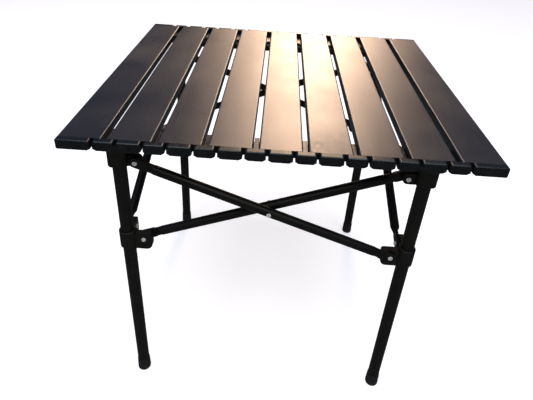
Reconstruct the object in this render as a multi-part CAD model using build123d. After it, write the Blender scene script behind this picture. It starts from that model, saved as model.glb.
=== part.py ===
from build123d import *

import os
from math import asin, degrees, radians, sin, sqrt

# A low folding table for camping: nine aluminium slats, joined by plastic links at both ends so
# that they roll up, lie on two rails held by the heads of four legs. Eight crossed bars, two on
# each side, join the legs, and four collars slide down the legs when the frame folds.
# Millimetres. X runs across the slats, Y along them from front to back, Z up. The origin is on
# the floor under the middle of the top.

os.makedirs("parts", exist_ok=True)

# ---- driving dimensions: tabletop ----
table_height = 463.0
top_depth = 467.0            # along the slats, over the end blocks
slat_count = 9
slat_width = 51.0
slat_gap = 7.0
slat_depth = 11.0
slat_wall = 1.2
slat_lip = 6.0               # in-turned lip along each lower edge
slat_edge_radius = 2.0
slat_foot_radius = 1.0

# ---- driving dimensions: end blocks, links and their pins ----
block_depth = 8.0            # along Y
block_height = 13.0
block_round = 3.0            # upper corners, seen from the front
block_bevel_width = 4.0      # lower corners
block_bevel_height = 2.5
block_edge = 0.9             # bevel round the front face
side_round = 1.8             # the two ends at the sides of the table
pin_drop = 5.5               # pin axis below the top of the table
end_gap = 0.3                # between the metal of a slat and the blocks in front of it
pin_inset = 4.0              # pin axis from the edge of its slat
link_overhang = 4.8          # how far a link reaches past its pin axis
block_gap = 2.4              # between a slat's block and the next link
pin_diameter = 3.4
pin_length = 14.0
pin_clearance = 0.05         # radial
plug_clearance = 0.15        # between a cap's plug and the inside of its slat
plug_bevel = 0.8             # clears the rounded inner corners of the slat
plug_length = 16.0
tongue_width = 24.0
tongue_length = 30.0
link_slack = 0.1             # each link is this much smaller all round than the blocks
arm_clearance = 0.6          # between a link's arm and the slat beside it
arm_length = 38.0
arm_drop = 1.8               # top of the arm below the pin axis
arm_thickness = 3.5

# ---- driving dimensions: saddles that straddle the rails ----
saddle_slats = (3, 5)        # counted from the left, starting at zero
saddle_width = 18.0
saddle_wall = 2.5
saddle_clearance = 0.4
saddle_reach = 1.3           # the walls end this far above the axis of the rail

# ---- driving dimensions: legs, heads and feet ----
top_overhang = 41.0          # from the front or back leg axes to the edge of the top
frame_shift = -9.0           # the top sits this far off the middle of the frame, along X
leg_diameter = 18.0
leg_wall = 1.2
leg_fit = 0.1                # radial, leg in head and foot
head_inner = 13.0            # from the leg axis to the faces that carry the ears
head_outer = 12.0            # and to the two faces that look outwards
head_corner = 6.0            # upright edges
head_edge = 3.0              # edges round the underside
head_skirt = 8.0             # head below its pivots
head_roof = 5.0              # plastic between the leg and the cradle
foot_wall = 1.3
foot_taper = 0.6
foot_height = 24.0
foot_floor = 4.0
foot_round = 3.0
rib_count = 3
rib_pitch = 4.0
rib_depth = 0.5

# ---- driving dimensions: rails and cradles ----
rail_diameter = 16.0
rail_wall = 1.2
rail_overhang = 10.0         # past the leg axes
rail_clearance = 0.3
cradle_angle = 25.0          # the cradle ends this far below the widest part of the rail
rail_plug_length = 9.0
rail_plug_rim = 1.5

# ---- driving dimensions: sliding collars ----
collar_wall = 2.52
collar_height = 28.0
collar_clearance = 0.08      # radial, on the leg
collar_round = 1.5

# ---- driving dimensions: crossed bars and their pivots ----
leg_above_pivot = 14.4       # top end of a leg above the upper pivots
pivot_fall = 128.0           # from the upper pivots to the lower ones, frame open
pivot_clearance = 2.5        # between the end of a bar and the head beside it
head_ear_radius = 7.5
collar_ear_reach = 11.5      # past the pivot
collar_ear_rise = 9.5        # above it
collar_ear_fall = 17.0       # below it
collar_ear_top_round = 3.0
collar_ear_foot_round = 9.0
bar_diameter = 13.0
bar_wall = 1.0
bar_gap = 0.4                # between a bar and the plane that splits the crossing
bar_flat = 4.0               # thickness of the flattened ends
bar_flat_width = 14.0
bar_flat_reach = 16.0        # from the pivot to the start of the neck
bar_neck = 10.0              # from round tube to flattened end
screw_diameter = 4.0
screw_clearance = 0.05       # radial
screw_head_diameter = 6.4
screw_head_height = 1.6
screw_recess_diameter = 3.0
screw_recess_depth = 1.0
nut_diameter = 6.2
nut_height = 2.4
side_clearance = 0.35        # between faces that turn against each other

# ---- worked out from the values above ----
slat_pitch = slat_width + slat_gap
hinge_offset = slat_gap / 2 + pin_inset
front_face = -top_depth / 2
block_back = front_face + block_depth
slat_end = block_back + end_gap
pin_height = table_height - pin_drop
block_middle = table_height - block_height / 2
slat_bottom = table_height - slat_depth
block_half = slat_pitch / 2 - hinge_offset - link_overhang - block_gap
rail_radius = rail_diameter / 2
rail_height = slat_bottom - rail_clearance - rail_radius
leg_spacing = top_depth - 2 * top_overhang
half_spacing = leg_spacing / 2
foot_diameter = leg_diameter + 2 * (leg_fit + foot_wall)
collar_diameter = leg_diameter + 2 * (collar_clearance + collar_wall)
pivot_offset = head_inner + pivot_clearance + bar_flat_width / 2
bar_side_step = bar_diameter / 2 + bar_gap
ear_thickness = 2 * (bar_side_step - bar_flat / 2 - bar_gap)
cradle_radius = rail_radius + rail_clearance
head_top = rail_height - cradle_radius * sin(radians(cradle_angle))
leg_top = rail_height - cradle_radius - head_roof
upper_pivot = leg_top - leg_above_pivot
lower_pivot = upper_pivot - pivot_fall
bar_span = leg_spacing - 2 * pivot_offset
bar_length = sqrt(bar_span**2 + pivot_fall**2)
bar_angle = degrees(asin(pivot_fall / bar_length))
hole_radius = screw_diameter / 2 + screw_clearance

CENTRE = (Align.CENTER, Align.CENTER, Align.CENTER)
FOOT = (Align.CENTER, Align.CENTER, Align.MIN)
# Corners of the frame, each with the signs of its X and Y.
CORNERS = {
    "front_left": (-1, -1),
    "front_right": (1, -1),
    "back_left": (-1, 1),
    "back_right": (1, 1),
}


def save(node, *solids):
    """Write one node: a single solid, or several separate ones."""
    shape = solids[0] if len(solids) == 1 else Compound(children=list(solids))
    export_step(shape, f"parts/{node}.step")


def y_cylinder(radius, length, x, y, z):
    """A cylinder along Y, centred on (x, y, z)."""
    return Pos(x, y, z) * Rot(90, 0, 0) * Cylinder(radius, length, align=CENTRE)


def x_cylinder(radius, length, x, y, z):
    """A cylinder along X, centred on (x, y, z)."""
    return Pos(x, y, z) * Rot(0, 90, 0) * Cylinder(radius, length, align=CENTRE)


def box_between(low, high):
    """A box from its lowest corner to its highest."""
    size = [b - a for a, b in zip(low, high)]
    middle = [(a + b) / 2 for a, b in zip(low, high)]
    return Pos(*middle) * Box(*size)


def extrude_y(sketch, y_from, y_to):
    """Stand a sketch drawn in X and Z upright, and extrude it from y_from to y_to."""
    solid = extrude(sketch, y_to - y_from)
    return Pos(0, y_to, 0) * Rot(90, 0, 0) * solid


def mirror_back(solid):
    """The same piece at the back edge."""
    return mirror(solid, about=Plane.XZ)


# ---- tabletop ----
def slat_middle(index):
    return (index - (slat_count - 1) / 2) * slat_pitch


def slat(index):
    """A channel, open below between its two lips, with rounded upper edges."""
    shell = Rectangle(slat_width, slat_depth)
    shell = fillet(shell.vertices().group_by(Axis.Y)[-1], slat_edge_radius)
    shell = fillet(shell.vertices().group_by(Axis.Y)[0], slat_foot_radius)
    inside = Rectangle(slat_width - 2 * slat_wall, slat_depth - 2 * slat_wall)
    inner_radius = slat_edge_radius - slat_wall
    inside = fillet(inside.vertices().group_by(Axis.Y)[-1], inner_radius)
    mouth = Pos(0, -slat_depth / 2) * Rectangle(slat_width - 2 * (slat_wall + slat_lip), slat_depth)
    channel = extrude_y(shell - inside - mouth, slat_end, -slat_end)
    return Pos(slat_middle(index), 0, table_height - slat_depth / 2) * channel


def end_block(half_left, half_right, height, y_from, y_to):
    """An end block: an end beside a neighbour has a rounded top and a bevelled foot."""
    left = block_half_profile(half_left, height)
    right = block_half_profile(half_right, height)
    block = extrude_y(right + mirror(left, about=Plane.YZ), y_from, y_to)
    return chamfer(block.faces().sort_by(Axis.Y)[0].edges(), block_edge)


def block_half_profile(half, height):
    """Half of a block from its middle towards +X. The ends of the top as a whole are squarer."""
    face = Pos(half / 2, 0) * Rectangle(half, height)
    top_corner, foot_corner = face.vertices().group_by(Axis.X)[-1].sort_by(Axis.Y)[::-1]
    if half > slat_width / 2 - slat_edge_radius:
        return fillet([top_corner, foot_corner], side_round)
    face = fillet(top_corner, block_round)
    cut = Polygon((0, 0), (-block_bevel_width, 0), (0, block_bevel_height), align=None)
    return face - Pos(half, -height / 2) * cut


def end_cap(index):
    """A slat's front cap: the block that shows, a plug inside the slat and a tongue behind it."""
    middle = slat_middle(index)
    first = index == 0
    last = index == slat_count - 1
    left = slat_width / 2 if first else block_half
    right = slat_width / 2 if last else block_half
    block = end_block(left, right, block_height, front_face, slat_end)
    cap = Pos(middle, 0, block_middle) * block
    plug_half = slat_width / 2 - slat_wall - plug_clearance
    plug_top = table_height - slat_wall - plug_clearance
    plug_bottom = slat_bottom + slat_wall + plug_clearance
    plug_end = slat_end + plug_length
    plug_profile = Rectangle(2 * plug_half, plug_top - plug_bottom)
    plug_profile = chamfer(plug_profile.vertices(), plug_bevel)
    cap += Pos(middle, 0, (plug_top + plug_bottom) / 2) * extrude_y(plug_profile, slat_end, plug_end)
    tongue_end = slat_end + tongue_length
    if index in saddle_slats:
        tongue_end = -half_spacing + rail_radius + saddle_clearance + saddle_wall
    tongue_low = (middle - tongue_width / 2, plug_end, plug_bottom)
    cap += box_between(tongue_low, (middle + tongue_width / 2, tongue_end, plug_top))
    if index in saddle_slats:
        cap = add_saddle(cap, middle)
    for side, at_edge in ((-1, first), (1, last)):
        if not at_edge:
            x = middle + side * (slat_pitch / 2 - hinge_offset)
            bore = pin_length + 1.0
            y = block_back + bore / 2
            cap -= y_cylinder(pin_diameter / 2 + pin_clearance, bore, x, y, pin_height)
    return cap


def add_saddle(cap, middle):
    """Two walls that reach down on either side of the rail, and the hollow between them."""
    inner = rail_radius + saddle_clearance
    outer = inner + saddle_wall
    low = (middle - saddle_width / 2, -half_spacing - outer, rail_height + saddle_reach)
    high = (middle + saddle_width / 2, -half_spacing + outer, table_height - slat_wall - plug_clearance)
    cap += box_between(low, high)
    cap -= x_cylinder(inner, saddle_width + 2, middle, -half_spacing, rail_height)
    return cap


def link(index):
    """The link in the gap after a slat: a block, two pins and an arm, in one moulding."""
    middle = slat_middle(index) + slat_pitch / 2
    half = hinge_offset + link_overhang
    height = block_height - 2 * link_slack
    back = block_back - link_slack
    block = end_block(half, half, height, front_face + link_slack, back)
    piece = Pos(middle, 0, block_middle) * block
    for side in (-1, 1):
        x = middle + side * hinge_offset
        length = pin_length + link_slack + 1.0
        piece += y_cylinder(pin_diameter / 2, length, x, back - 1.0 + length / 2, pin_height)
    arm_half = slat_gap / 2 - arm_clearance
    arm_top = pin_height - arm_drop
    low = (middle - arm_half, back - 1.0, arm_top - arm_thickness)
    high = (middle + arm_half, back + arm_length, arm_top)
    piece += box_between(low, high)
    return piece


# ---- rails ----
def rail_tube(y):
    """A round tube across the heads of two legs."""
    length = leg_spacing + 2 * rail_overhang
    tube = x_cylinder(rail_radius, length, frame_shift, y, rail_height)
    return tube - x_cylinder(rail_radius - rail_wall, length + 2, frame_shift, y, rail_height)


def rail_plug(y, side):
    """A plastic plug in the end of a rail, with a rim over the cut edge."""
    end = frame_shift + side * (half_spacing + rail_overhang)
    body_radius = rail_radius - rail_wall - plug_clearance
    body = x_cylinder(body_radius, rail_plug_length, end - side * rail_plug_length / 2, y, rail_height)
    rim_middle = end + side * (plug_clearance + rail_plug_rim / 2)
    rim = x_cylinder(rail_radius, rail_plug_rim, rim_middle, y, rail_height)
    rim = fillet(rim.edges().filter_by(GeomType.CIRCLE).sort_by(Axis.X)[-1 if side > 0 else 0], 1.0)
    neck = x_cylinder(body_radius, 2 * plug_clearance, end + side * plug_clearance / 2, y, rail_height)
    return body + neck + rim


# ---- legs ----
def leg(x, y):
    height = leg_top - foot_floor
    tube = Cylinder(leg_diameter / 2, height, align=FOOT)
    tube -= Cylinder(leg_diameter / 2 - leg_wall, height, align=FOOT)
    return Pos(x, y, foot_floor) * tube


def foot(x, y):
    """A moulded boot: tapered, rounded below, with shallow rings round it."""
    boot = Cone(foot_diameter / 2, foot_diameter / 2 - foot_taper, foot_height, align=FOOT)
    boot = fillet(boot.edges().filter_by(GeomType.CIRCLE).sort_by(Axis.Z)[0], foot_round)
    boot = fillet(boot.edges().filter_by(GeomType.CIRCLE).sort_by(Axis.Z)[-1], 0.8)
    for ring in range(rib_count):
        z = foot_height - rib_pitch * (ring + 1)
        boot -= Pos(0, 0, z) * Torus(foot_diameter / 2, rib_depth)
    boot -= Pos(0, 0, foot_floor) * Cylinder(leg_diameter / 2 + leg_fit, foot_height, align=FOOT)
    return Pos(x, y, 0) * boot


def head_ear():
    """An ear that points along +X, rounded about its pivot, drawn about the leg axis."""
    low = (0, -ear_thickness / 2, upper_pivot - head_ear_radius)
    plate = box_between(low, (pivot_offset, ear_thickness / 2, upper_pivot + head_ear_radius))
    return plate + y_cylinder(head_ear_radius, ear_thickness, pivot_offset, 0, upper_pivot)


def collar_ear():
    """A tall ear that points along +X, with a wide curve at its lower outer corner."""
    reach = pivot_offset + collar_ear_reach
    tall = collar_ear_rise + collar_ear_fall
    face = Pos(reach / 2, (collar_ear_rise - collar_ear_fall) / 2) * Rectangle(reach, tall)
    outer = face.vertices().group_by(Axis.X)[-1].sort_by(Axis.Y)
    face = fillet(outer[-1], collar_ear_top_round)
    outer = face.vertices().sort_by(Axis.Y)[:2].sort_by(Axis.X)
    face = fillet(outer[-1], collar_ear_foot_round)
    return Pos(0, 0, lower_pivot) * extrude_y(face, -ear_thickness / 2, ear_thickness / 2)


def add_ears(body, ear, sign_x, sign_y):
    """Give a body two ears that point away from the corner with these signs."""
    body += ear if sign_x < 0 else Rot(0, 0, 180) * ear
    return body + Rot(0, 0, 90 if sign_y < 0 else -90) * ear


def pivot_holes(inward_x, inward_y, pivot_height):
    """Both pivot holes of a head or a collar, drawn about the leg axis."""
    through = ear_thickness + 2
    along_y = y_cylinder(hole_radius, through, inward_x * pivot_offset, 0, pivot_height)
    along_x = x_cylinder(hole_radius, through, 0, inward_y * pivot_offset, pivot_height)
    return along_y + along_x


def head(sign_x, sign_y, x, y):
    """A leg's head: a block with a socket for the leg, a cradle for the rail and two ears."""
    bottom = upper_pivot - head_skirt
    side = head_outer + head_inner
    shift = (head_outer - head_inner) / 2
    plan = fillet(Rectangle(side, side).vertices(), head_corner)
    body = Pos(sign_x * shift, sign_y * shift, bottom) * extrude(plan, head_top - bottom)
    body = fillet(body.faces().sort_by(Axis.Z)[0].edges(), head_edge)
    body = add_ears(body, head_ear(), sign_x, sign_y)
    body -= pivot_holes(-sign_x, -sign_y, upper_pivot)
    socket_height = leg_top - bottom
    body -= Pos(0, 0, bottom) * Cylinder(leg_diameter / 2 + leg_fit, socket_height, align=FOOT)
    body -= x_cylinder(cradle_radius, 2 * side, 0, 0, rail_height)
    return Pos(x, y, 0) * body


def collar(sign_x, sign_y, x, y):
    """A collar that slides on a leg, with two ears for the lower ends of the bars."""
    body = Pos(0, 0, lower_pivot) * Cylinder(collar_diameter / 2, collar_height, align=CENTRE)
    rims = body.edges().filter_by(GeomType.CIRCLE)
    body = fillet(rims, collar_round)
    body = add_ears(body, collar_ear(), sign_x, sign_y)
    body -= pivot_holes(-sign_x, -sign_y, lower_pivot)
    bore = leg_diameter / 2 + collar_clearance
    bore_length = 2 * (collar_height + collar_ear_fall)
    body -= Pos(0, 0, lower_pivot) * Cylinder(bore, bore_length, align=CENTRE)
    return Pos(x, y, 0) * body


# ---- crossed bars ----
def bar():
    """A round tube along X from pivot to pivot, flattened at both ends, pivots along Y."""
    tube_length = bar_length - 2 * (bar_flat_reach + bar_neck)
    rod = x_cylinder(bar_diameter / 2, tube_length, 0, 0, 0)
    rod -= x_cylinder(bar_diameter / 2 - bar_wall, tube_length, 0, 0, 0)
    for side in (-1, 1):
        tube_end = side * tube_length / 2
        flat_start = tube_end + side * bar_neck
        round_face = Plane((tube_end, 0, 0), x_dir=(0, 1, 0), z_dir=(side, 0, 0)) * Circle(bar_diameter / 2)
        flat_profile = RectangleRounded(bar_flat, bar_flat_width, bar_flat / 2 - 0.05)
        flat_face = Plane((flat_start, 0, 0), x_dir=(0, 1, 0), z_dir=(side, 0, 0)) * flat_profile
        rod += loft([round_face.face(), flat_face.face()])
        pivot = side * bar_length / 2
        middle = (flat_start + pivot) / 2
        rod += Pos(middle, 0, 0) * Box(abs(pivot - flat_start), bar_flat, bar_flat_width)
        rod += y_cylinder(bar_flat_width / 2, bar_flat, pivot, 0, 0)
        rod -= y_cylinder(hole_radius, bar_flat + 2, pivot, 0, 0)
    rod -= y_cylinder(hole_radius, bar_diameter + 2, 0, 0, 0)
    return rod


def screw(length):
    """A domed screw along Y: underside of the head at the origin, shank towards +Y."""
    head_part = Rot(90, 0, 0) * Cylinder(screw_head_diameter / 2, screw_head_height, align=FOOT)
    head_part = fillet(head_part.edges().filter_by(GeomType.CIRCLE).sort_by(Axis.Y)[0], 1.2)
    shank = y_cylinder(screw_diameter / 2, length, 0, length / 2, 0)
    recess_y = -screw_head_height + screw_recess_depth / 2
    recess = y_cylinder(screw_recess_diameter / 2, screw_recess_depth, 0, recess_y, 0)
    return head_part + shank - recess


def nut():
    """A round lock nut along Y, its seat at the origin and its body towards +Y."""
    body = y_cylinder(nut_diameter / 2, nut_height, 0, nut_height / 2, 0)
    body = fillet(body.edges().filter_by(GeomType.CIRCLE).sort_by(Axis.Y)[-1], 1.0)
    return body - y_cylinder(hole_radius, nut_height + 2, 0, nut_height / 2, 0)


def fasten(y_head, y_nut, x, z):
    """A screw and its nut: head seated at y_head, nut seated at y_nut."""
    length = y_nut + nut_height - y_head
    return [Pos(x, y_head, z) * screw(length), Pos(x, y_nut, z) * nut()]


def side_bars():
    """Both bars of one side with their screws, in a frame with the ears in the XZ plane.

    The outer bar falls to the right on the -Y side of the ears and carries the middle screw. The
    inner bar rises to the right on the +Y side.
    """
    middle = (upper_pivot + lower_pivot) / 2
    half = bar_span / 2
    outer_face = bar_side_step + bar_flat / 2 + plug_clearance
    ear_face = ear_thickness / 2 + side_clearance
    outer = Pos(0, -bar_side_step, middle) * Rot(0, bar_angle, 0) * bar()
    inner = Pos(0, bar_side_step, middle) * Rot(0, -bar_angle, 0) * bar()
    outer_screws = fasten(-outer_face, ear_face, -half, upper_pivot)
    outer_screws += fasten(-outer_face, ear_face, half, lower_pivot)
    tube_face = bar_side_step + bar_diameter / 2
    outer_screws += fasten(-tube_face - plug_clearance, tube_face + side_clearance, 0, middle)
    inner_screws = fasten(-ear_face, outer_face, -half, lower_pivot)
    inner_screws += fasten(-ear_face, outer_face, half, upper_pivot)
    return outer, inner, outer_screws, inner_screws


# ---- write the pieces ----
for i in range(slat_count):
    save(f"slat_{i + 1}", slat(i))
    front_cap = end_cap(i)
    save(f"end_caps_{i + 1}", front_cap, mirror_back(front_cap))
for i in range(slat_count - 1):
    front_link = link(i)
    save(f"links_{i + 1}", front_link, mirror_back(front_link))

for name, y_side in (("front", -1), ("back", 1)):
    rail_y = y_side * half_spacing
    plugs = [rail_plug(rail_y, -1), rail_plug(rail_y, 1)]
    save(f"{name}_rail", rail_tube(rail_y), *plugs)

for corner, (sx, sy) in CORNERS.items():
    leg_x = frame_shift + sx * half_spacing
    leg_y = sy * half_spacing
    save(f"{corner}_leg", leg(leg_x, leg_y))
    save(f"{corner}_foot", foot(leg_x, leg_y))
    save(f"{corner}_head", head(sx, sy, leg_x, leg_y))
    save(f"{corner}_collar", collar(sx, sy, leg_x, leg_y))

# Each side is the front one turned about the frame's upright middle line.
SIDES = {"front": 0, "right": 90, "back": 180, "left": 270}
outer_bar, inner_bar, outer_screws, inner_screws = side_bars()
for side_name, turn in SIDES.items():
    place = Pos(frame_shift, 0, 0) * Rot(0, 0, turn) * Pos(0, -half_spacing, 0)
    save(f"{side_name}_bar_outer", place * outer_bar)
    save(f"{side_name}_bar_inner", place * inner_bar)
    save(f"{side_name}_screws_outer", *[place * piece for piece in outer_screws])
    save(f"{side_name}_screws_inner", *[place * piece for piece in inner_screws])

print(f"pivot heights {lower_pivot:.1f} and {upper_pivot:.1f}, bar length {bar_length:.2f}, angle {bar_angle:.3f}")
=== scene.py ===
import math

import bpy
from mathutils import Matrix, Vector


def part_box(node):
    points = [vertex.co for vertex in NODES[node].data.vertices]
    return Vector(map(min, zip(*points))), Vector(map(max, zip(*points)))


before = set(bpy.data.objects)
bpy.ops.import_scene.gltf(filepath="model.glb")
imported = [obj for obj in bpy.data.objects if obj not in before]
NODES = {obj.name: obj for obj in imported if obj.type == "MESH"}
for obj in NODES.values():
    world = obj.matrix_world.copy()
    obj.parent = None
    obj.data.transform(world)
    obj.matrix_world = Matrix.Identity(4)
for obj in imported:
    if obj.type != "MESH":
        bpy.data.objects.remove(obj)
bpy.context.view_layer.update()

# The folding side table: satin black-brown slats, matt black plastic, powder-coated tubes.
# Metres, in the frame of the CAD model.

SLAT_COUNT = 9

# ---- colours ----
SLAT_DARK = (0.008, 0.0075, 0.0075)
SLAT_LIGHT = (0.014, 0.0125, 0.012)
SLAT_DUST = (0.12, 0.11, 0.10)
# bluish grey of the rubbed slat edges, partly real wear and partly a painted edge highlight
SLAT_WORN_HIGHLIGHT = (0.10, 0.12, 0.14)
CAP_DARK = (0.0030, 0.0033, 0.0035)
CAP_LIGHT = (0.0055, 0.006, 0.0065)
PLASTIC_DUST = (0.08, 0.08, 0.08)
PLASTIC_SCUFF = (0.06, 0.06, 0.06)
COATING_DARK = (0.0030, 0.0029, 0.0024)
COATING_LIGHT = (0.0055, 0.0053, 0.0046)
COATING_SCRATCH = (0.05, 0.05, 0.05)
COATING_DUST = (0.07, 0.07, 0.07)
RUBBER_DARK = (0.006, 0.006, 0.006)
RUBBER_LIGHT = (0.011, 0.011, 0.011)
RUBBER_DIRT = (0.06, 0.055, 0.05)
ZINC_DULL = (0.55, 0.55, 0.50)
ZINC_BRIGHT = (0.88, 0.88, 0.80)
PLAIN_SHEEN = (1.0, 1.0, 1.0)
COOL_SHEEN = (0.62, 0.78, 0.90)
GREY_SHEEN = (0.70, 0.80, 0.82)
WARM_SHEEN = (0.95, 0.88, 0.74)

# ---- patterns: how often each repeats in a metre, one number or one for each axis ----
SLAT_GRAIN = (1500, 45, 1500)
SLAT_SCRATCHES = (900, 9, 900)
SLAT_RUBBING = (60, 22, 60)
SLAT_WAVES = (30, 6, 30)
SLAT_BLOTCHES = 14.0
SLAT_CLOUDS = 4.5
SLAT_SPECKS = 900.0
SLAT_SHIFT = (0.37, 0.91)   # from one slat's pattern to the next
CAP_GRAIN = 1500.0
JOINT_GRAIN = 1100.0
PLASTIC_PATCHES = 60.0
PLASTIC_SPECKS = 700.0
PLASTIC_SCUFFS = (260, 40, 260)
TUBE_PEEL = 650.0
TUBE_PATCHES = 25.0
TUBE_SPECKS = 520.0
TUBE_SCRATCHES = (500, 500, 20)
RUBBER_PATCHES = 90.0
RUBBER_GRAIN = 1200.0
ZINC_PATCHES = 400.0
ZINC_GRAIN = 3000.0
PATCH_RANGE = (0.3, 0.7)    # of a noise, spread over a blend from one look to the other

# ---- wear and finish ----
RUB_HIGHLIGHT_START = 0.0021          # the rubbed band, lightened as a painted edge highlight, on a slat's long upper edges, from this far in
RUB_HIGHLIGHT_FULL = 0.0009
RUB_HIGHLIGHT_DEPTH_START = 0.0020    # and from this far below its top
RUB_HIGHLIGHT_DEPTH_FULL = 0.0008
RUB_HIGHLIGHT_STRENGTH = 0.5
SLAT_ROUGHNESS = (0.25, 0.31)
CAP_ROUGHNESS = 0.27
JOINT_ROUGHNESS = 0.48
ROUGHNESS_SPREAD = 0.06
TUBE_ROUGHNESS = (0.34, 0.46)
RUBBER_ROUGHNESS = (0.62, 0.80)
ZINC_ROUGHNESS = (0.26, 0.44)
DIRT_HEIGHT = 0.012         # dirt on the feet fades out this far above the floor

# ---- light ----
GLOW_AZIMUTH = math.radians(4.2)
GLOW_WIDTH = math.radians(6.6)
GLOW_COLOUR = (14.2, 9.8, 6.9)
GLOW_RISE = (0.02, 0.16)    # height in the sky, as the sine of the elevation
GLOW_FADE = (0.42, 0.80)
SKY_LOW = (0.07, 0.075, 0.085)
SKY_HIGH = (0.07, 0.11, 0.22)
SKY_BLEND = (0.1, 0.6)
BACKDROP = (0.93, 0.93, 0.93)
FLOOR_HALF = 12.0
FLOOR_COLOUR = (0.86, 0.86, 0.86, 1.0)
FLOOR_GLOW = 0.62
LAMP_PLACE = Vector((0, -0.7, 2.5))
LAMP_AIM = Vector((0, -0.1, 0))
LAMP_SIDE = 2.4
LAMP_POWER = 60.0
LAMP_COLOUR = (0.95, 0.98, 1.0)

# ---- camera ----
CAMERA_PLACE = Vector((-0.0128, -0.6811, 0.7356))
CAMERA_YAW = math.radians(-0.75)
CAMERA_PITCH = math.radians(30.39)
CAMERA_ROLL = math.radians(3.34)
CAMERA_LENS = 31.52
CAMERA_SENSOR = 36.0
CAMERA_SHIFT = (0.003, -0.103)
CAMERA_NEAR = 0.01


# ---- node helpers ----
def shader(name):
    """A new material with its node tree and Principled shader."""
    material = bpy.data.materials.new(name)
    material.use_nodes = True
    tree = material.node_tree
    return material, tree, tree.nodes["Principled BSDF"]


def coordinates(tree, scale=(1, 1, 1), offset=(0, 0, 0)):
    """Object coordinates, stretched and moved."""
    source = tree.nodes.new("ShaderNodeTexCoord")
    mapping = tree.nodes.new("ShaderNodeMapping")
    mapping.inputs["Scale"].default_value = scale
    mapping.inputs["Location"].default_value = offset
    tree.links.new(source.outputs["Object"], mapping.inputs["Vector"])
    return mapping.outputs["Vector"]


def separate(tree, vector):
    """The X, Y and Z of a vector."""
    node = tree.nodes.new("ShaderNodeSeparateXYZ")
    tree.links.new(vector, node.inputs["Vector"])
    return [node.outputs[axis] for axis in "XYZ"]


def noise(tree, vector, scale=1.0, detail=2.0, roughness=0.55, distortion=0.0):
    """Smooth noise from 0 to 1 about 0.5."""
    node = tree.nodes.new("ShaderNodeTexNoise")
    node.inputs["Scale"].default_value = scale
    node.inputs["Detail"].default_value = detail
    node.inputs["Roughness"].default_value = roughness
    node.inputs["Distortion"].default_value = distortion
    tree.links.new(vector, node.inputs["Vector"])
    return node.outputs["Fac"]


def ramp(tree, value, low, high, low_out=0.0, high_out=1.0):
    """A value between low and high, spread over low_out to high_out and held beyond."""
    node = tree.nodes.new("ShaderNodeMapRange")
    node.inputs["From Min"].default_value = low
    node.inputs["From Max"].default_value = high
    node.inputs["To Min"].default_value = low_out
    node.inputs["To Max"].default_value = high_out
    tree.links.new(value, node.inputs["Value"])
    return node.outputs["Result"]


def math_node(tree, operation, *values):
    """One operation on values that are numbers or sockets."""
    node = tree.nodes.new("ShaderNodeMath")
    node.operation = operation
    for socket, value in zip(node.inputs, values):
        if isinstance(value, (int, float)):
            socket.default_value = value
        else:
            tree.links.new(value, socket)
    return node.outputs["Value"]


def add_scaled(tree, base, value, factor):
    """base plus value times factor."""
    return math_node(tree, "ADD", base, math_node(tree, "MULTIPLY", value, factor))


def mix_colour(tree, factor, first, second):
    """A blend of two colours that are tuples or sockets."""
    node = tree.nodes.new("ShaderNodeMix")
    node.data_type = "RGBA"
    tree.links.new(factor, node.inputs["Factor"])
    for socket, value in ((node.inputs["A"], first), (node.inputs["B"], second)):
        if isinstance(value, tuple):
            socket.default_value = (*value, 1.0)
        else:
            tree.links.new(value, socket)
    return node.outputs["Result"]


def cover(tree, body, mask, strength, colour):
    """Another colour over the body colour where a mask is set."""
    return mix_colour(tree, math_node(tree, "MULTIPLY", mask, strength), body, colour)


def bump(tree, height, distance, strength, normal=None):
    """Relief from a height, on top of an earlier relief if one is given."""
    node = tree.nodes.new("ShaderNodeBump")
    node.inputs["Distance"].default_value = distance
    node.inputs["Strength"].default_value = strength
    tree.links.new(height, node.inputs["Height"])
    if normal is not None:
        tree.links.new(normal, node.inputs["Normal"])
    return node.outputs["Normal"]


# ---- materials ----
def rubbed_highlight_edge(tree, low, high):
    """Masks of a slat's long edges: the whole band, and its part near the top, where rubbed wear and a
    painted edge highlight go.
    """
    x, _, z = separate(tree, coordinates(tree))
    middle = (low.x + high.x) / 2
    half = (high.x - low.x) / 2
    from_middle = math_node(tree, "ABSOLUTE", math_node(tree, "SUBTRACT", x, middle))
    edge = ramp(tree, from_middle, half - RUB_HIGHLIGHT_START, half - RUB_HIGHLIGHT_FULL)
    near_top = ramp(tree, z, high.z - RUB_HIGHLIGHT_DEPTH_START, high.z - RUB_HIGHLIGHT_DEPTH_FULL)
    return edge, math_node(tree, "MULTIPLY", edge, near_top)


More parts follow.
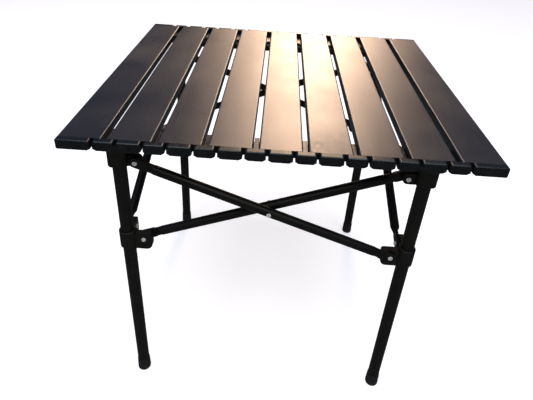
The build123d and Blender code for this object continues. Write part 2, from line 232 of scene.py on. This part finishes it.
def slat_metal(index, low, high):
    """Satin coating on a rolled aluminium slat: faint rolling grain, blotches, rubbed edges lightened as a
    painted edge highlight, dust.
    """
    material, tree, surface = shader(f"slat_metal_{index}")
    shift_x, shift_y = (step * index for step in SLAT_SHIFT)
    offset = (shift_x, shift_y, 0.0)
    swapped = (shift_y, shift_x, 0.0)
    plain = coordinates(tree, offset=offset)
    grain = noise(tree, coordinates(tree, SLAT_GRAIN, offset), detail=2.0)
    blotch = noise(tree, plain, SLAT_BLOTCHES, detail=4.0, roughness=0.6, distortion=0.6)
    cloud = noise(tree, plain, SLAT_CLOUDS, detail=2.0, roughness=0.5)
    speck = noise(tree, plain, SLAT_SPECKS, detail=2.0)
    streaks = coordinates(tree, SLAT_SCRATCHES, swapped)
    scratch = noise(tree, streaks, detail=1.0, roughness=0.4, distortion=0.2)
    scratch = ramp(tree, scratch, 0.73, 0.78)
    dust = ramp(tree, math_node(tree, "MULTIPLY", speck, cloud), 0.33, 0.42)
    body = mix_colour(tree, ramp(tree, blotch, *PATCH_RANGE), SLAT_DARK, SLAT_LIGHT)
    body = cover(tree, body, dust, 0.15, SLAT_DUST)
    # The coating is thin and rubbed in places along the long upper edges; the lighter bluish band there is
    # also a painted edge highlight.
    edge, worn_highlight = rubbed_highlight_edge(tree, low, high)
    patchy = noise(tree, coordinates(tree, SLAT_RUBBING, offset), detail=4.0, roughness=0.7)
    worn_highlight = math_node(tree, "MULTIPLY", worn_highlight, ramp(tree, patchy, 0.42, 0.62))
    body = cover(tree, body, worn_highlight, RUB_HIGHLIGHT_STRENGTH, SLAT_WORN_HIGHLIGHT)
    tree.links.new(body, surface.inputs["Base Color"])
    sheen = mix_colour(tree, edge, PLAIN_SHEEN, COOL_SHEEN)
    tree.links.new(sheen, surface.inputs["Specular Tint"])
    rough = ramp(tree, blotch, *PATCH_RANGE, *SLAT_ROUGHNESS)
    rough = add_scaled(tree, rough, grain, 0.05)
    rough = add_scaled(tree, rough, dust, 0.20)
    rough = add_scaled(tree, rough, scratch, -0.08)
    tree.links.new(rough, surface.inputs["Roughness"])
    surface.inputs["Specular IOR Level"].default_value = 0.9
    relief = bump(tree, grain, distance=0.00002, strength=0.35)
    relief = bump(tree, speck, distance=0.00003, strength=0.35, normal=relief)
    waves = noise(tree, coordinates(tree, SLAT_WAVES, offset), detail=1.0)
    relief = bump(tree, waves, distance=0.0006, strength=0.25, normal=relief)
    tree.links.new(relief, surface.inputs["Normal"])
    return material


def moulded_plastic(name, dark, light, roughness, sheen, grain_scale):
    """Matt black moulded plastic: spark-eroded grain, scuffs and dust in the colour."""
    material, tree, surface = shader(name)
    plain = coordinates(tree)
    grain = noise(tree, plain, grain_scale, detail=2.0, roughness=0.6)
    patch = noise(tree, plain, PLASTIC_PATCHES, detail=4.0, roughness=0.6)
    streaks = coordinates(tree, PLASTIC_SCUFFS)
    scuff = noise(tree, streaks, detail=3.0, roughness=0.7, distortion=0.4)
    scuff = ramp(tree, scuff, 0.60, 0.72)
    speck = ramp(tree, noise(tree, plain, PLASTIC_SPECKS, detail=1.0), 0.62, 0.72)
    body = mix_colour(tree, ramp(tree, patch, *PATCH_RANGE), dark, light)
    body = cover(tree, body, speck, 0.10, PLASTIC_DUST)
    body = cover(tree, body, scuff, 0.12, PLASTIC_SCUFF)
    tree.links.new(body, surface.inputs["Base Color"])
    smooth = roughness - ROUGHNESS_SPREAD
    coarse = roughness + ROUGHNESS_SPREAD
    rough = add_scaled(tree, ramp(tree, patch, *PATCH_RANGE, smooth, coarse), scuff, 0.10)
    tree.links.new(rough, surface.inputs["Roughness"])
    surface.inputs["Specular IOR Level"].default_value = 0.4
    surface.inputs["Specular Tint"].default_value = (*sheen, 1.0)
    relief = bump(tree, grain, distance=0.00004, strength=0.5)
    relief = bump(tree, patch, distance=0.0003, strength=0.15, normal=relief)
    tree.links.new(relief, surface.inputs["Normal"])
    return material


def powder_coat():
    """Black powder coat on tube: orange-peel bump, a few scratches, dust."""
    material, tree, surface = shader("powder_coat")
    plain = coordinates(tree)
    peel = noise(tree, plain, TUBE_PEEL, detail=2.0, roughness=0.5)
    patch = noise(tree, plain, TUBE_PATCHES, detail=4.0, roughness=0.6)
    streaks = coordinates(tree, TUBE_SCRATCHES)
    scratch = noise(tree, streaks, detail=2.0, roughness=0.5, distortion=0.3)
    scratch = ramp(tree, scratch, 0.68, 0.74)
    speck = ramp(tree, noise(tree, plain, TUBE_SPECKS, detail=1.0), 0.64, 0.74)
    body = mix_colour(tree, ramp(tree, patch, *PATCH_RANGE), COATING_DARK, COATING_LIGHT)
    body = cover(tree, body, scratch, 0.2, COATING_SCRATCH)
    body = cover(tree, body, speck, 0.1, COATING_DUST)
    tree.links.new(body, surface.inputs["Base Color"])
    rough = add_scaled(tree, ramp(tree, patch, *PATCH_RANGE, *TUBE_ROUGHNESS), scratch, 0.12)
    tree.links.new(rough, surface.inputs["Roughness"])
    surface.inputs["Specular IOR Level"].default_value = 0.38
    surface.inputs["Specular Tint"].default_value = (*WARM_SHEEN, 1.0)
    relief = bump(tree, peel, distance=0.00006, strength=0.5)
    tree.links.new(relief, surface.inputs["Normal"])
    return material


def foot_rubber():
    """Soft black rubber, greyed and scuffed towards the ground."""
    material, tree, surface = shader("foot_rubber")
    plain = coordinates(tree)
    patch = noise(tree, plain, RUBBER_PATCHES, detail=4.0, roughness=0.65)
    grain = noise(tree, plain, RUBBER_GRAIN, detail=2.0)
    height = separate(tree, plain)[2]
    near_floor = ramp(tree, height, 0.0, DIRT_HEIGHT, 1.0, 0.0)
    dirt = math_node(tree, "MULTIPLY", near_floor, ramp(tree, patch, 0.35, 0.65))
    body = mix_colour(tree, ramp(tree, patch, *PATCH_RANGE), RUBBER_DARK, RUBBER_LIGHT)
    body = cover(tree, body, dirt, 0.35, RUBBER_DIRT)
    tree.links.new(body, surface.inputs["Base Color"])
    rough = ramp(tree, patch, *PATCH_RANGE, *RUBBER_ROUGHNESS)
    tree.links.new(rough, surface.inputs["Roughness"])
    surface.inputs["Specular IOR Level"].default_value = 0.4
    relief = bump(tree, grain, distance=0.00005, strength=0.5)
    relief = bump(tree, patch, distance=0.0004, strength=0.2, normal=relief)
    tree.links.new(relief, surface.inputs["Normal"])
    return material


def zinc_steel():
    """Zinc-plated steel of screws and nuts: bright, a little dulled in patches."""
    material, tree, surface = shader("screw_steel")
    plain = coordinates(tree)
    patch = noise(tree, plain, ZINC_PATCHES, detail=3.0, roughness=0.6)
    grain = noise(tree, plain, ZINC_GRAIN, detail=2.0)
    body = mix_colour(tree, ramp(tree, patch, *PATCH_RANGE), ZINC_DULL, ZINC_BRIGHT)
    tree.links.new(body, surface.inputs["Base Color"])
    surface.inputs["Metallic"].default_value = 0.45
    rough = ramp(tree, patch, *PATCH_RANGE, *ZINC_ROUGHNESS)
    tree.links.new(rough, surface.inputs["Roughness"])
    relief = bump(tree, grain, distance=0.00002, strength=0.5)
    tree.links.new(relief, surface.inputs["Normal"])
    return material


def assign(node, material):
    """Give a node's mesh one material."""
    mesh_object = NODES[node]
    mesh_object.data.materials.clear()
    mesh_object.data.materials.append(material)


def dress():
    """Every node in its material."""
    caps = moulded_plastic(
        "hinge_plastic", CAP_DARK, CAP_LIGHT, CAP_ROUGHNESS, GREY_SHEEN, CAP_GRAIN)
    joints = moulded_plastic(
        "joint_plastic", COATING_DARK, COATING_LIGHT, JOINT_ROUGHNESS, WARM_SHEEN, JOINT_GRAIN)
    tube = powder_coat()
    rubber = foot_rubber()
    steel = zinc_steel()
    for i in range(1, SLAT_COUNT + 1):
        assign(f"slat_{i}", slat_metal(i, *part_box(f"slat_{i}")))
    for name in NODES:
        if name.startswith(("end_caps", "links")):
            assign(name, caps)
        elif name.endswith(("_head", "_collar")):
            assign(name, joints)
        elif name.endswith("_foot"):
            assign(name, rubber)
        elif "_screws_" in name:
            assign(name, steel)
        elif not name.startswith("slat_"):
            assign(name, tube)


# ---- stage, light and camera ----
def floor():
    """A wide pale floor that glows a little and stays out of reflections."""
    mesh = bpy.data.meshes.new("floor")
    corners = [(x * FLOOR_HALF, y * FLOOR_HALF, 0) for x, y in ((-1, -1), (1, -1), (1, 1), (-1, 1))]
    mesh.from_pydata(corners, [], [(0, 1, 2, 3)])
    piece = bpy.data.objects.new("floor", mesh)
    bpy.context.scene.collection.objects.link(piece)
    material, _, surface = shader("floor")
    surface.inputs["Base Color"].default_value = FLOOR_COLOUR
    surface.inputs["Roughness"].default_value = 0.9
    surface.inputs["Emission Color"].default_value = (1.0, 1.0, 1.0, 1.0)
    surface.inputs["Emission Strength"].default_value = FLOOR_GLOW
    surface.inputs["Specular IOR Level"].default_value = 0.1
    mesh.materials.append(material)
    piece.visible_glossy = False


def overhead_lamp():
    """A large soft lamp above and in front."""
    light = bpy.data.lights.new("overhead", "AREA")
    light.shape = "RECTANGLE"
    light.size = LAMP_SIDE
    light.size_y = LAMP_SIDE
    light.energy = LAMP_POWER
    light.color = LAMP_COLOUR
    lamp = bpy.data.objects.new("overhead", light)
    lamp.location = LAMP_PLACE
    lamp.rotation_euler = (LAMP_AIM - LAMP_PLACE).to_track_quat("-Z", "Y").to_euler()
    lamp.visible_camera = False
    bpy.context.scene.collection.objects.link(lamp)


def sky():
    """Dusk: a warm glow low behind the table, a dim blue sky elsewhere, a pale backdrop."""
    world = bpy.data.worlds.new("studio")
    bpy.context.scene.world = world
    world.use_nodes = True
    tree = world.node_tree
    source = tree.nodes.new("ShaderNodeTexCoord")
    x, y, z = separate(tree, source.outputs["Generated"])
    azimuth = math_node(tree, "ARCTAN2", x, y)
    aside = math_node(tree, "SUBTRACT", azimuth, GLOW_AZIMUTH)
    aside = math_node(tree, "DIVIDE", aside, GLOW_WIDTH)
    aside_squared = math_node(tree, "MULTIPLY", aside, aside)
    spread = math_node(tree, "EXPONENT", math_node(tree, "MULTIPLY", aside_squared, -1.0))
    band = math_node(tree, "MULTIPLY", ramp(tree, z, *GLOW_RISE), ramp(tree, z, *GLOW_FADE, 1.0, 0.0))
    glow = math_node(tree, "MULTIPLY", spread, band)
    colour = mix_colour(tree, ramp(tree, z, *SKY_BLEND), SKY_LOW, SKY_HIGH)
    lit = mix_colour(tree, glow, colour, GLOW_COLOUR)
    path = tree.nodes.new("ShaderNodeLightPath")
    seen = mix_colour(tree, path.outputs["Is Camera Ray"], lit, BACKDROP)
    tree.links.new(seen, tree.nodes["Background"].inputs["Color"])


def camera():
    """Above and in front of the table, turned a little to the left and rolled."""
    across = math.cos(CAMERA_PITCH)
    forward = Vector((math.sin(CAMERA_YAW) * across, math.cos(CAMERA_YAW) * across, -math.sin(CAMERA_PITCH)))
    level = Vector((math.cos(CAMERA_YAW), -math.sin(CAMERA_YAW), 0))
    upright = level.cross(forward)
    right = math.cos(CAMERA_ROLL) * level + math.sin(CAMERA_ROLL) * upright
    up = -math.sin(CAMERA_ROLL) * level + math.cos(CAMERA_ROLL) * upright
    data = bpy.data.cameras.new("camera")
    data.lens = CAMERA_LENS
    data.sensor_width = CAMERA_SENSOR
    data.shift_x, data.shift_y = CAMERA_SHIFT
    data.clip_start = CAMERA_NEAR
    viewer = bpy.data.objects.new("camera", data)
    axes = Matrix((right, up, -forward)).transposed().to_4x4()
    viewer.matrix_world = Matrix.Translation(CAMERA_PLACE) @ axes
    bpy.context.scene.collection.objects.link(viewer)
    bpy.context.scene.camera = viewer


dress()
floor()
sky()
overhead_lamp()
camera()
bpy.context.scene.view_settings.view_transform = "Standard"
